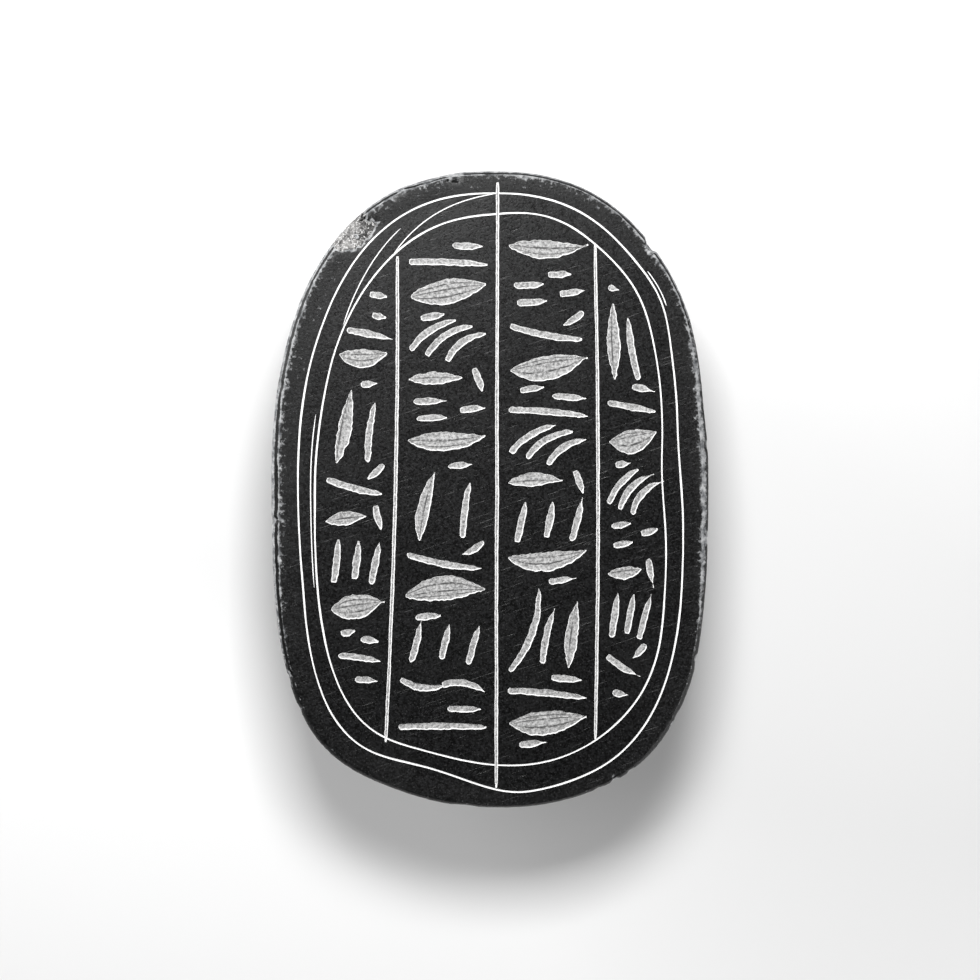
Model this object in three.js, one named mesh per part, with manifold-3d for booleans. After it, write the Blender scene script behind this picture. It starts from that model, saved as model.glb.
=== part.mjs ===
// A heart scarab carved from one black stone, in millimetres.
// It lies on its beetle back with the flat inscribed oval up. +Z is up, +Y is the head end, and the
// origin is on the surface that it rests on, below the middle of its box.
import * as THREE from 'three';
import { mergeVertices } from 'three/addons/utils/BufferGeometryUtils.js';
import Module from 'manifold-3d';

const wasm = await Module();
wasm.setup();

// Overall size
const length = 100;
const width = 68.6;
const thickness = 36;

// Edge of the inscribed face: a worn bevel, wider along the sides than at the two ends
const bevelSideWidth = 1.3;
const bevelEndWidth = 0.6;
const bevelDepth = 0.9;

// Plinth that carries the inscription, and the channel between it and the beetle
const plinthHeight = 8.6;
const plinthTaperWidth = 0.5;
const plinthEdgeRadius = 0.6;
const channelDepth = 6;
const channelHeight = 8.4;
const headChannelHeight = 3.6;
const channelFilletRadius = 1.1;

// Beetle: how far its edge stands in from the plinth's, its thin lip, its legs, eyes and toothed head
const bodyInset = 3.6;
const lipWidth = 0.5;
const lipHeight = 1.2;
const legRadius = 2.4;
const eyeRadius = 2.3;
const headNotchRadius = 1.3;
const seamDepth = 0.75;

// Inscribed face: two thin border lines, three rules, and the strokes between them
const outerLineSideInset = 4;
const outerLineEndInset = 3.3;
const innerLineInset = 6.6;
const borderLineWidth = 0.3;
const borderLineDepth = 0.25;
const ruleWidth = 0.62;
const ruleDepth = 0.4;
const strokeWidth = 1.2;
const strokeDepth = 0.5;
const columnMarginWidth = 1.3;

// Height of waste stone above the face, cut off flat together with the inscription
const wasteHeight = 0.5;

// Fineness of the faceted surface
const outlineSteps = 72;
const borderSteps = 60;

const halfLength = length / 2;
const halfWidth = width / 2;
const faceHeight = thickness;
const degree = Math.PI / 180;

// Roundness of the oval at the head end and at the tail end
const headRoundness = 2.4;
const tailRoundness = 2.95;

// Back of the beetle: the share that is worn flat, the powers that round its dome, how much lower it is at
// the head, and the shares of the half length between which it falls to the head
const flatShare = 0.24;
const domeRun = 2.1;
const domeLift = 1.75;
const headSlope = 0.42;
const slopeStart = 0.42;
const slopeEnd = 0.95;
const lipShare = 0.9;

// Seats: how far the legs stand out of the channel's wall and the eyes out of the head, in their own radii
const legSeat = 0.45;
const eyeSeat = 0.35;
const eyeAcross = 0.43;
const eyeAlong = 0.735;

const clamp = THREE.MathUtils.clamp;
const mix = THREE.MathUtils.lerp;
const ease = THREE.MathUtils.smoothstep;

// Irregularities of the hand-cut ovals: angle and spread in degrees, and height as a share of the length.
// Angles run from the right-hand side round the head end, which is at 90.
const outlineBumps = [
  [22, 9, -0.003], [45, 10, 0.0035], [250, 13, -0.018], [289, 9, -0.005], [316, 10, 0.0035],
];
const outerLineBumps = [
  [16, 20, -0.009], [49, 9, 0.01], [128, 22, -0.005], [208, 18, -0.004], [255, 13, -0.03], [274, 8, 0.009],
  [312, 18, 0.003],
];
const innerLineBumps = [
  [8, 20, -0.01], [54, 12, 0.01], [78, 10, 0.007], [116, 18, -0.012], [145, 18, -0.006], [255, 13, -0.021],
  [295, 16, -0.009], [310, 14, 0.01],
];

// Distance from the middle to an oval whose half axes are given, towards an angle in radians.
function ovalRadius(angle, across, along, bumps) {
  const c = Math.abs(Math.cos(angle));
  const s = Math.sin(angle);
  const power = s >= 0 ? headRoundness : tailRoundness;
  let radius = (((c / across) ** power) + ((Math.abs(s) / along) ** power)) ** (-1 / power);
  for (const [centre, spread, height] of bumps) {
    const turned = angle / degree - centre;
    const away = turned - 360 * Math.round(turned / 360);
    radius += height * length * Math.exp(-((away / spread) ** 2));
  }
  return radius;
}

const outline = (angle) => ovalRadius(angle, halfWidth, halfLength, outlineBumps);
const outerLine = (angle) =>
  ovalRadius(angle, halfWidth - outerLineSideInset, halfLength - outerLineEndInset, outerLineBumps);
const innerLine = (angle) =>
  ovalRadius(angle, halfWidth - innerLineInset, halfLength - innerLineInset, innerLineBumps);

// How far an angle lies in the head's sector, from 0 at the sides to 1 at the front.
const headness = (angle) => ease(Math.sin(angle), 0.72, 0.97);

// Underside of the plinth, and the beetle's lower edge, where it meets the channel.
const plinthUnderside = thickness - plinthHeight;
const channelTop = plinthUnderside - channelFilletRadius;
const edgeHeight = (angle) => channelTop - mix(channelHeight, headChannelHeight, headness(angle));

// Height of the beetle's back at a share of the way from its middle to its edge: flat where it rests,
// then a dome that ends upright at the edge.
function backHeight(angle, share) {
  const run = clamp((share - flatShare) / (1 - flatShare), 0, 1);
  const lift = (1 - (run ** domeRun)) ** (1 / domeLift);
  const towardsHead = share * Math.max(0, Math.sin(angle));
  const slope = 1 - headSlope * ease(towardsHead, slopeStart, slopeEnd) * (1 - ease(run, lipShare, 1));
  return edgeHeight(angle) * (1 - lift * slope);
}

// Rings of the body from the inscribed face, over the plinth and channel, to the back: how far each stands in
// from the outline, and its height. The first carries the bevel's slope on to the top of the waste stone.
const bevelWidth = (angle) => mix(bevelSideWidth, bevelEndWidth, Math.sin(angle) ** 2);
const sideRings = [
  (angle) => [bevelWidth(angle) * (1 + wasteHeight / bevelDepth), faceHeight + wasteHeight],
  () => [0, faceHeight - bevelDepth],
  () => [plinthTaperWidth, plinthUnderside + plinthEdgeRadius],
  () => [plinthTaperWidth + plinthEdgeRadius, plinthUnderside],
  () => [channelDepth - channelFilletRadius, plinthUnderside],
  () => [channelDepth, channelTop],
  (angle) => [channelDepth, edgeHeight(angle) + lipHeight],
  (angle) => [bodyInset + lipWidth, edgeHeight(angle) + lipHeight / 2],
];
const backShares = [1, 0.985, 0.95, 0.89, 0.81, 0.71, 0.59, 0.46, 0.34, flatShare];

function ringPoint(angle, ring) {
  const radius = outline(angle);
  if (ring < 0 || ring >= sideRings.length + backShares.length) {
    return [0, ring < 0 ? faceHeight + wasteHeight : 0];
  }
  if (ring < sideRings.length) {
    const [inset, height] = sideRings[ring](angle);
    return [radius - inset, height];
  }
  const share = backShares[ring - sideRings.length];
  return [share * (radius - bodyInset), backHeight(angle, share)];
}

// Makes a closed solid of a geometry.
function solid(geometry) {
  geometry.deleteAttribute('normal');
  geometry.deleteAttribute('uv');
  const merged = mergeVertices(geometry, 1e-4);
  const mesh = new wasm.Mesh({
    numProp: 3,
    vertProperties: new Float32Array(merged.attributes.position.array),
    triVerts: new Uint32Array(merged.index.array),
  });
  return new wasm.Manifold(mesh);
}

// The stone before its fine carving: a lathe form whose rings are drawn out to the hand-cut oval.
function stoneBody() {
  const ringCount = sideRings.length + backShares.length;
  const profile = [];
  for (let ring = ringCount; ring >= -1; ring -= 1) {
    const onAxis = ring < 0 || ring === ringCount;
    profile.push(new THREE.Vector2(onAxis ? 0 : 1, -ring));
  }
  const form = new THREE.LatheGeometry(profile, outlineSteps);
  const places = form.attributes.position;
  for (let k = 0; k < places.count; k += 1) {
    const step = Math.floor(k / profile.length) % outlineSteps;
    const angle = (step / outlineSteps) * 2 * Math.PI;
    const ring = ringCount - (k % profile.length);
    const [radius, height] = ringPoint(angle, ring);
    places.setXYZ(k, radius * Math.cos(angle), radius * Math.sin(angle), height);
  }
  return solid(form);
}

// A point on the beetle's back, above the place (x, y).
function onBack(x, y) {
  const angle = Math.atan2(y, x);
  const share = Math.hypot(x, y) / (outline(angle) - bodyInset);
  return new THREE.Vector3(x, y, backHeight(angle, Math.min(share, 1)));
}

// A bar with a round or pointed section along a smooth curve.
function bar(points, radius, sides, steps) {
  const section = new THREE.Shape();
  for (let k = 0; k < sides; k += 1) {
    const turn = (k / sides) * 2 * Math.PI;
    const corner = [radius * Math.cos(turn), radius * Math.sin(turn)];
    if (k === 0) {
      section.moveTo(...corner);
    } else {
      section.lineTo(...corner);
    }
  }
  const extrudePath = new THREE.CatmullRomCurve3(points);
  return solid(new THREE.ExtrudeGeometry(section, { steps, extrudePath }));
}

// A carved line on the back through places given as shares of the half width and half length.
function seam({ from, to, sag, steps }) {
  const points = [];
  for (let k = 0; k <= steps; k += 1) {
    const t = k / steps;
    const x = mix(from[0], to[0], t) * halfWidth;
    const y = (mix(from[1], to[1], t) + sag * (4 * t * (1 - t))) * halfLength;
    points.push(onBack(x, y));
  }
  return bar(points, seamDepth, 4, steps);
}

// Legs lie in the channel, through places given as an angle, a share of the way from the body's edge to the
// plinth, and how far the leg sinks into the stone there, in leg radii.
const legPlaces = [
  [[32, -0.1, 1], [40, 0.2, 0], [50, 0.62, 0], [62, 0.8, 0], [74, 0.8, 1]],
  [[25, 0, 1], [18, 0.3, 0], [8, 0.72, 0], [-2, 0.84, 0], [-12, 0.9, 1]],
  [[-4, -0.1, 1], [-14, 0.25, 0], [-28, 0.66, 0], [-47, 0.8, 0], [-66, 0.8, 1]],
];
const legSteps = 8;

// One leg, on the right for side 1 and mirrored to the left for side -1.
function leg(places, side) {
  const route = new THREE.CatmullRomCurve3(places.map((place) => new THREE.Vector3(...place)));
  const points = route.getPoints(legSteps).map(({ x: turn, y: share, z: sink }) => {
    const angle = (side > 0 ? turn : 180 - turn) * degree;
    const radius = outline(angle) - channelDepth + (legSeat - sink) * legRadius;
    const height = mix(edgeHeight(angle), channelTop, share);
    return new THREE.Vector3(radius * Math.cos(angle), radius * Math.sin(angle), height);
  });
  return bar(points, legRadius, 8, legSteps);
}

// Carved lines of the back: their ends in shares of the half width and half length, and the middle's sag.
const backSeams = [
  { from: [0, 0.2], to: [0, -0.96], sag: 0, steps: 12 },
  { from: [-0.94, 0.33], to: [0.94, 0.33], sag: -0.11, steps: 16 },
  { from: [-0.6, 0.69], to: [0.6, 0.69], sag: -0.11, steps: 10 },
];
for (const side of [-1, 1]) {
  backSeams.push({ from: [0.17 * side, 0.59], to: [0.33 * side, 0.88], sag: 0, steps: 4 });
  backSeams.push({ from: [0.56 * side, 0.27], to: [0.47 * side, 0.07], sag: 0, steps: 4 });
  backSeams.push({ from: [0.38 * side, 0.24], to: [0.47 * side, 0.07], sag: 0, steps: 4 });
}

// Notches of the head's toothed front edge, as angles round the oval. They stop short of the plinth.
const headNotches = [68, 82, 98, 112];

function headNotch(turn) {
  const angle = turn * degree;
  const cutter = new THREE.CylinderGeometry(headNotchRadius, headNotchRadius, thickness, 6);
  cutter.rotateX(Math.PI / 2);
  const radius = outline(angle) - bodyInset + 0.4 * headNotchRadius;
  const top = edgeHeight(angle) + lipHeight / 2;
  cutter.translate(radius * Math.cos(angle), radius * Math.sin(angle), top - thickness / 2);
  return solid(cutter);
}

function eye(side) {
  const form = new THREE.SphereGeometry(eyeRadius, 8, 6);
  const place = onBack(side * eyeAcross * halfWidth, eyeAlong * halfLength);
  form.translate(place.x, place.y, place.z + eyeSeat * eyeRadius);
  return solid(form);
}

// Straight-sided cutter below the inscribed face for an outline of [x, y] places.
function faceCut(places, depth, hole) {
  const shape = new THREE.Shape(places.map(([x, y]) => new THREE.Vector2(x, y)));
  if (hole) {
    shape.holes.push(new THREE.Path(hole.map(([x, y]) => new THREE.Vector2(x, y))));
  }
  const height = depth + 2 * wasteHeight;
  const geometry = new THREE.ExtrudeGeometry(shape, { depth: height, bevelEnabled: false });
  geometry.translate(0, 0, faceHeight - depth);
  return solid(geometry);
}

// A thin line closed round the face.
function borderLine(radiusAt) {
  const ring = (shift) => {
    const places = [];
    for (let k = 0; k < borderSteps; k += 1) {
      const angle = (k / borderSteps) * 2 * Math.PI;
      const radius = radiusAt(angle) + shift;
      places.push([radius * Math.cos(angle), radius * Math.sin(angle)]);
    }
    return places;
  };
  return faceCut(ring(borderLineWidth / 2), borderLineDepth, ring(-borderLineWidth / 2));
}

// Stray cuts beside the border lines: first and last angle, and their places from the outer line (0) to the
// inner line (1).
const strayLines = [[89, 112, 0, 0.96], [109, 131, 0.38, 0.94], [155, 207, 0.74, 0.78], [47, 55, -0.2, -0.2]];

function strayLine([from, to, first, last]) {
  const steps = Math.ceil((to - from) / 6);
  const edge = (shift) => {
    const places = [];
    for (let k = 0; k <= steps; k += 1) {
      const angle = mix(from, to, k / steps) * degree;
      const radius = mix(outerLine(angle), innerLine(angle), mix(first, last, k / steps)) + shift;
      places.push([radius * Math.cos(angle), radius * Math.sin(angle)]);
    }
    return places;
  };
  const half = borderLineWidth / 2;
  return faceCut([...edge(half), ...edge(-half).reverse()], borderLineDepth);
}

// Rules that part the four columns: top and bottom as shares of the half length, and the place across at the
// top, middle and bottom as shares of the half width.
const rules = [
  { top: 0.74, bottom: -0.776, across: [-0.429, -0.444, -0.49] },
  { top: 0.966, bottom: -0.93, across: [0.023, 0.02, 0.017] },
  { top: 0.776, bottom: -0.782, across: [0.466, 0.484, 0.477] },
];

function ruleAcross({ top, bottom, across }, y) {
  const t = clamp((top - y / halfLength) / (top - bottom), 0, 1);
  const [first, middle, last] = across;
  const bow = middle - (first + last) / 2;
  return halfWidth * (mix(first, last, t) + bow * 4 * t * (1 - t));
}

// Shares of a rule's length and of its width there: it runs out thin at both ends.
const ruleStations = [[0, 0.35], [0.04, 1], [0.5, 1], [0.94, 1], [1, 0.35]];

function rule(shape) {
  const edge = (side) => ruleStations.map(([t, swell]) => {
    const y = mix(shape.top, shape.bottom, t) * halfLength;
    return [ruleAcross(shape, y) + side * swell * (ruleWidth / 2), y];
  });
  return faceCut([...edge(-1), ...edge(1).reverse()], ruleDepth);
}

// Half the width of the inner border's oval at a height along the face.
function borderAcross(y) {
  const across = halfWidth - innerLineInset;
  const along = halfLength - innerLineInset;
  const power = y > 0 ? headRoundness : tailRoundness;
  return across * ((1 - Math.min(1, Math.abs(y) / along) ** power) ** (1 / power));
}

// Left and right edge of a column at a height along the face.
function columnEdges(column, y) {
  const left = column === 0 ? -borderAcross(y) : ruleAcross(rules[column - 1], y);
  const right = column === 3 ? borderAcross(y) : ruleAcross(rules[column], y);
  return [left + columnMarginWidth, right - columnMarginWidth];
}

// Signs are groups of plain strokes, with no meaning. A stroke has two ends, in shares of its column's width
// from the middle and of its row's height from the top, then how many scratches wide it is and how far it
// bows, as a share of its own length.
const signs = {
  dash: { rows: 0.75, strokes: [[-0.2, 0.44, 0.42, 0.56, 1, 0]] },
  bar: { rows: 1, strokes: [[-0.46, 0.62, 0.48, 0.82, 1, 0.015], [0.06, 0.16, 0.42, 0.24, 1, 0]] },
  shell: { rows: 1.3, strokes: [[-0.46, 0.26, 0.46, 0.2, 3, -0.08], [0.02, 0.92, 0.3, 0.88, 1, 0]] },
  pod: { rows: 1.4, strokes: [[-0.44, 0.5, 0.46, 0.3, 4, 0.02], [-0.32, 0.98, -0.04, 0.92, 1, 0]] },
  pair: { rows: 2.2, strokes: [[-0.3, 0.98, -0.14, 0.02, 2, 0.03], [0.2, 0.98, 0.28, 0.2, 1, 0.03]] },
  tick: { rows: 1.1, strokes: [[-0.44, 0.36, 0.42, 0.84, 1, -0.03], [0.44, 0.06, 0.2, 0.42, 1, 0.06]] },
  spindle: { rows: 1, strokes: [[-0.46, 0.56, 0.18, 0.44, 2, 0.02], [0.32, 0.14, 0.42, 0.84, 1, 0]] },
  wave: { rows: 1.2, strokes: [[-0.46, 0.3, 0.02, 0.5, 1, -0.12], [0, 0.5, 0.46, 0.7, 1, 0.12]] },
  dashes: {
    rows: 1.05,
    strokes: [
      [-0.4, 0.22, -0.04, 0.18, 1, 0],
      [-0.36, 0.74, 0, 0.68, 1, 0],
      [0.16, 0.46, 0.46, 0.36, 1, 0],
    ],
  },
  fan: {
    rows: 1.4,
    strokes: [
      [-0.44, 0.72, 0.1, 0.06, 1, 0.1],
      [-0.24, 0.84, 0.3, 0.2, 1, 0.12],
      [0, 0.96, 0.46, 0.36, 1, 0.14],
    ],
  },
  trio: {
    rows: 1.5,
    strokes: [
      [-0.36, 0.92, -0.26, 0.08, 1, 0],
      [-0.02, 0.84, 0.06, 0.1, 1, 0],
      [0.28, 0.94, 0.4, 0.12, 1, 0],
    ],
  },
  sweep: {
    rows: 2.8,
    strokes: [
      [-0.44, 0.98, -0.1, 0.04, 1, -0.1],
      [-0.04, 0.9, 0.08, 0.3, 1, 0.03],
      [0.26, 0.96, 0.36, 0.2, 2, 0.03],
    ],
  },
};

// The four columns from left to right: top and bottom as shares of the half length, and their signs.
const columns = [
  {
    top: 0.66,
    bottom: -0.62,
    names: ['dash', 'bar', 'shell', 'pair', 'tick', 'spindle', 'trio', 'pod', 'bar', 'dash'],
  },
  {
    top: 0.79,
    bottom: -0.76,
    names: ['bar', 'pod', 'fan', 'spindle', 'dashes', 'shell', 'pair', 'tick', 'pod', 'trio', 'wave', 'bar'],
  },
  {
    top: 0.8,
    bottom: -0.8,
    names: [
      'shell', 'dashes', 'tick', 'pod', 'bar', 'fan', 'spindle', 'trio', 'shell', 'sweep', 'bar', 'pod',
    ],
  },
  {
    top: 0.68,
    bottom: -0.68,
    names: ['dash', 'pair', 'bar', 'pod', 'fan', 'dashes', 'spindle', 'trio', 'tick', 'dash'],
  },
];

// Shares of a stroke's length and of its width there: a bar with blunt ends, and a pointed lens.
const barStations = [[0, 0.8], [0.5, 1], [1, 0.62]];
const lensStations = [[0, 0], [0.14, 0.68], [0.44, 1], [0.82, 0.62], [1, 0]];

// How much each further scratch adds to a stroke's width, as a share of the first.
const scratchOverlap = 0.8;

// How far the hand tilts a row, up or down.
const unevenness = 0.05;

// Outline of one stroke: a bar where it is one scratch wide, a lens where it is wider.
function strokeOutline(start, end, scratches, bow) {
  const along = new THREE.Vector2(end[0] - start[0], end[1] - start[1]);
  const across = new THREE.Vector2(-along.y, along.x).normalize();
  const half = (strokeWidth / 2) * (1 + scratchOverlap * (scratches - 1));
  const stations = scratches === 1 ? barStations : lensStations;
  const edge = (side) => stations.map(([t, swell]) => {
    const off = side * half * swell + bow * along.length() * 4 * t * (1 - t);
    return [start[0] + along.x * t + across.x * off, start[1] + along.y * t + across.y * off];
  });
  const back = edge(1).reverse();
  return [...edge(-1), ...(scratches === 1 ? back : back.slice(1, -1))];
}

// All strokes of the four columns, with a little unevenness of the hand from row to row.
function inscription() {
  const cuts = [];
  columns.forEach(({ top, bottom, names }, column) => {
    const rowCount = names.reduce((sum, name) => sum + signs[name].rows, 0);
    const rowHeight = ((top - bottom) * halfLength) / rowCount;
    let y = top * halfLength;
    names.forEach((name, index) => {
      const tilt = unevenness * Math.sin(5.1 * index + 2.3 * column);
      const rowTop = y;
      const height = signs[name].rows * rowHeight;
      const place = (across, down) => {
        const [left, right] = columnEdges(column, rowTop - down * height);
        const x = mix(left, right, across + 0.5);
        return [x, rowTop - down * height + tilt * (x - (left + right) / 2)];
      };
      for (const [x0, y0, x1, y1, scratches, bow] of signs[name].strokes) {
        cuts.push(faceCut(strokeOutline(place(x0, y0), place(x1, y1), scratches, bow), strokeDepth));
      }
      y -= height;
    });
  });
  return cuts;
}

// Chips at the worn edge: angle round the oval, then in shares of the length: distance in from the outline,
// half sizes along and across it, and depth.
const chips = [
  [117.6, 0.044, 0.033, 0.024, 0.01],
  [57, 0.001, 0.009, 0.01, 0.009],
  [104, 0.006, 0.024, 0.006, 0.007],
  [221, 0.001, 0.01, 0.007, 0.008],
  [321, 0.001, 0.009, 0.008, 0.009],
  [308, 0, 0.013, 0.007, 0.008],
];

function chip([turn, ...shares]) {
  const angle = turn * degree;
  const [inset, along, across, depth] = shares.map((share) => share * length);
  const fineness = along > channelDepth / 2 ? 1 : 0;
  const form = new THREE.IcosahedronGeometry(1, fineness);
  form.scale(across, along, depth);
  form.rotateZ(angle);
  const radius = outline(angle) - inset;
  form.translate(radius * Math.cos(angle), radius * Math.sin(angle), faceHeight);
  return solid(form);
}

function carvedScarab() {
  let stone = stoneBody();
  for (const side of [1, -1]) {
    for (const places of legPlaces) {
      stone = stone.add(leg(places, side));
    }
    stone = stone.add(eye(side));
  }
  const backCuts = [
    ...backSeams.map(seam),
    ...headNotches.map(headNotch),
  ];
  const waste = new THREE.BoxGeometry(2 * width, 2 * length, thickness);
  waste.translate(0, 0, faceHeight + thickness / 2);
  const faceCuts = [
    solid(waste),
    borderLine(outerLine),
    borderLine(innerLine),
    ...strayLines.map(strayLine),
    ...rules.map(rule),
    ...inscription(),
    ...chips.map(chip),
  ];
  const join = (cuts) => cuts.reduce((form, cut) => form.add(cut));
  return stone.subtract(join(backCuts)).subtract(join(faceCuts));
}

const blackStone = new THREE.MeshStandardMaterial({ color: 0x2b2b2c, roughness: 0.72, metalness: 0 });

function meshOf(manifold) {
  const cut = manifold.getMesh();
  const geometry = new THREE.BufferGeometry();
  geometry.setAttribute('position', new THREE.BufferAttribute(new Float32Array(cut.vertProperties), 3));
  geometry.setIndex(new THREE.BufferAttribute(new Uint32Array(cut.triVerts), 1));
  geometry.computeVertexNormals();
  return geometry;
}

const amulet = new THREE.Group();
const scarab = new THREE.Mesh(meshOf(carvedScarab()), blackStone);
scarab.name = 'scarab';
amulet.add(scarab);

export default amulet;
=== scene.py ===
# A heart scarab carved from one black stone, lying on its beetle back with the inscribed oval up.
# The stone is one closed mesh: a triangulated face whose every cut is real relief, and a ring grid for the
# bevel, the plinth, the channel with the legs, and the beetle's back. Shapes are worked out in millimetres.
import math

import bpy
import numpy as np
from mathutils import Matrix, Vector
from mathutils.geometry import delaunay_2d_cdt
from mathutils.kdtree import KDTree


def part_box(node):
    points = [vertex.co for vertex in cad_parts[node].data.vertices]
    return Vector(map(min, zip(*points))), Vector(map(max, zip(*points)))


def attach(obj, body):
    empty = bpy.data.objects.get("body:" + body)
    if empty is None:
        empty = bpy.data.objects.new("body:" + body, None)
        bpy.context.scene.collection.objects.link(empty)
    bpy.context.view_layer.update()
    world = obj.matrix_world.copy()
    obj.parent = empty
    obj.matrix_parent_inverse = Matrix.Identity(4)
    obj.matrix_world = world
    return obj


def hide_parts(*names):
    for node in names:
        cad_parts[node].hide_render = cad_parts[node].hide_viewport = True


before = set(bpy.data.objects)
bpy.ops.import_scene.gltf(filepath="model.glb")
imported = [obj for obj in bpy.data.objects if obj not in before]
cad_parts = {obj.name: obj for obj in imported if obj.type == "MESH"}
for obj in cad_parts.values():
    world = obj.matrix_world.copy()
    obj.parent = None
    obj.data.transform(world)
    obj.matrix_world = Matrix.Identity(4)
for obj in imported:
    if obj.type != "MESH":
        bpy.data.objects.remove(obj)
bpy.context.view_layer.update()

MM = 0.001

# Overall size, from the frame
_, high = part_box("scarab")
half_width = high[0] / MM
half_length = high[1] / MM
thickness = high[2] / MM
length = 2 * half_length

# Edge, plinth, channel and beetle, as in the solid
bevel_side_width = 1.3
bevel_end_width = 0.6
bevel_depth = 0.9
plinth_height = 8.6
plinth_taper_width = 0.5
plinth_edge_radius = 0.6
channel_depth = 6.0
channel_height = 8.4
head_channel_height = 3.6
channel_fillet_radius = 1.1
body_inset = 3.6
lip_width = 0.5
lip_height = 1.2
leg_radius = 2.4
eye_radius = 2.3
head_notch_radius = 1.3
seam_depth = 0.75

# Finer carving of the legs, and where the bevel meets the plinth's side
leg_flank_slope = 2.2
leg_flank_width = 0.7
knee_place = 0.42
knee_depth = 0.45
hatch_spacing = 1.9
hatch_depth = 0.28
bevel_foot_inset = 0.02
bevel_foot_drop = 0.13

# Inscribed face
outer_line_side_inset = 4.0
outer_line_end_inset = 3.3
inner_line_inset = 6.6
border_line_width = 0.26
rule_width = 0.54
stroke_width = 1.12
column_margin_width = 1.3
line_depth = 0.08
rule_depth = 0.2
stroke_depth = 0.24
groove_wall = 0.1

# Roundness and shares of the free form, as in the solid
head_roundness = 2.4
tail_roundness = 2.95
flat_share = 0.24
dome_run = 2.1
dome_lift = 1.75
head_slope = 0.42
slope_start = 0.42
slope_end = 0.95
lip_share = 0.9
leg_seat = 0.45
eye_seat = 0.35
eye_across = 0.43
eye_along = 0.735

# Fineness of the mesh
columns_evenly = 440
face_step = 0.95
line_step = 0.5
stroke_step = 0.3
chip_step = 0.42
bevel_rows = 7
wall_rows = 12

TAU = 2 * math.pi


def mix(a, b, t):
    return a + (b - a) * t


def ease(value, start, end):
    t = np.clip((value - start) / (end - start), 0, 1)
    return t * t * (3 - 2 * t)


# Evenly seeded noise in [-1, 1] at places given in millimetres

def lattice(ix, iy, iz, seed):
    wave = np.sin(ix * 127.1 + iy * 311.7 + iz * 74.7 + seed * 53.3) * 43758.5453
    return (wave - np.floor(wave)) * 2 - 1


def noise(x, y, z, size, seed):
    scaled = [np.asarray(value, float) / size for value in np.broadcast_arrays(x, y, z)]
    cell = [np.floor(value) for value in scaled]
    within = [value - start for value, start in zip(scaled, cell)]
    far = [value * value * (3 - 2 * value) for value in within]
    total = 0.0
    for dx in (0, 1):
        for dy in (0, 1):
            for dz in (0, 1):
                weight = far[0] if dx else 1 - far[0]
                weight = weight * (far[1] if dy else 1 - far[1])
                weight = weight * (far[2] if dz else 1 - far[2])
                total = total + weight * lattice(cell[0] + dx, cell[1] + dy, cell[2] + dz, seed)
    return total


def layered(x, y, z, size, seed, layers=3):
    total = 0.0
    weight = 1.0
    for k in range(layers):
        total = total + weight * noise(x, y, z, size / 2 ** k, seed + k)
        weight *= 0.5
    return total / (2 - 0.5 ** (layers - 1))


# Hand-cut ovals: angle and spread in degrees, and height as a share of the length

OUTLINE_BUMPS = [(22, 9, -0.003), (45, 10, 0.0035), (250, 13, -0.018), (289, 9, -0.005), (316, 10, 0.0035)]
OUTER_LINE_BUMPS = [
    (16, 20, -0.009), (49, 9, 0.01), (128, 22, -0.005), (208, 18, -0.004), (255, 13, -0.03), (274, 8, 0.009),
    (312, 18, 0.003),
]
INNER_LINE_BUMPS = [
    (8, 20, -0.01), (54, 12, 0.01), (78, 10, 0.007), (116, 18, -0.012), (145, 18, -0.006), (255, 13, -0.021),
    (295, 16, -0.009), (310, 14, 0.01),
]


def degrees_from(angle, centre):
    turned = np.degrees(angle) - centre
    return turned - 360 * np.round(turned / 360)


def ring_points(angle, radius):
    return np.stack([radius * np.cos(angle), radius * np.sin(angle)], 1)


def oval_radius(angle, across, along, bumps):
    angle = np.asarray(angle, float)
    c = np.abs(np.cos(angle))
    s = np.sin(angle)
    power = np.where(s >= 0, head_roundness, tail_roundness)
    radius = ((c / across) ** power + (np.abs(s) / along) ** power) ** (-1 / power)
    for centre, spread, height in bumps:
        radius = radius + height * length * np.exp(-((degrees_from(angle, centre) / spread) ** 2))
    return radius


def outline(angle):
    return oval_radius(angle, half_width, half_length, OUTLINE_BUMPS)


def outer_line(angle):
    across = half_width - outer_line_side_inset
    return oval_radius(angle, across, half_length - outer_line_end_inset, OUTER_LINE_BUMPS)


def inner_line(angle):
    across = half_width - inner_line_inset
    return oval_radius(angle, across, half_length - inner_line_inset, INNER_LINE_BUMPS)


def distance_to_line(x, y, line):
    """Distance from places to a polyline, and how far along it the nearest place is."""
    best = np.full(np.shape(x), 1e9)
    along = np.zeros(np.shape(x))
    travelled = 0.0
    for (ax, ay), (bx, by) in zip(line[:-1], line[1:]):
        dx, dy = bx - ax, by - ay
        size = math.hypot(dx, dy) or 1e-9
        t = np.clip(((x - ax) * dx + (y - ay) * dy) / size ** 2, 0, 1)
        d = np.hypot(x - ax - t * dx, y - ay - t * dy)
        near = d < best
        best = np.where(near, d, best)
        along = np.where(near, travelled + t * size, along)
        travelled += size
    return best, along


# Chips at the worn edge: angle, then in shares of the length: distance in from the outline, half sizes along
# and across it, and depth

CHIPS = [
    (57, 0.001, 0.008, 0.009, 0.009),
    (107, 0.002, 0.012, 0.003, 0.002),
    (101, 0.002, 0.006, 0.004, 0.002),
    (221, 0.001, 0.006, 0.005, 0.007),
    (321, 0.001, 0.007, 0.004, 0.004),
    (308, 0, 0.009, 0.003, 0.004),
    (228, 0, 0.005, 0.003, 0.005),
    (265, 0, 0.012, 0.002, 0.005),
    (293, 0, 0.006, 0.004, 0.005),
    (296.5, 0, 0.004, 0.003, 0.004),
    (290, 0, 0.004, 0.003, 0.004),
    (97, 0.003, 0.012, 0.004, 0.004),
    (12, 0, 0.01, 0.003, 0.004),
    (348, 0.001, 0.014, 0.003, 0.004),
    (186, 0.001, 0.008, 0.003, 0.004),
]


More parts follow.
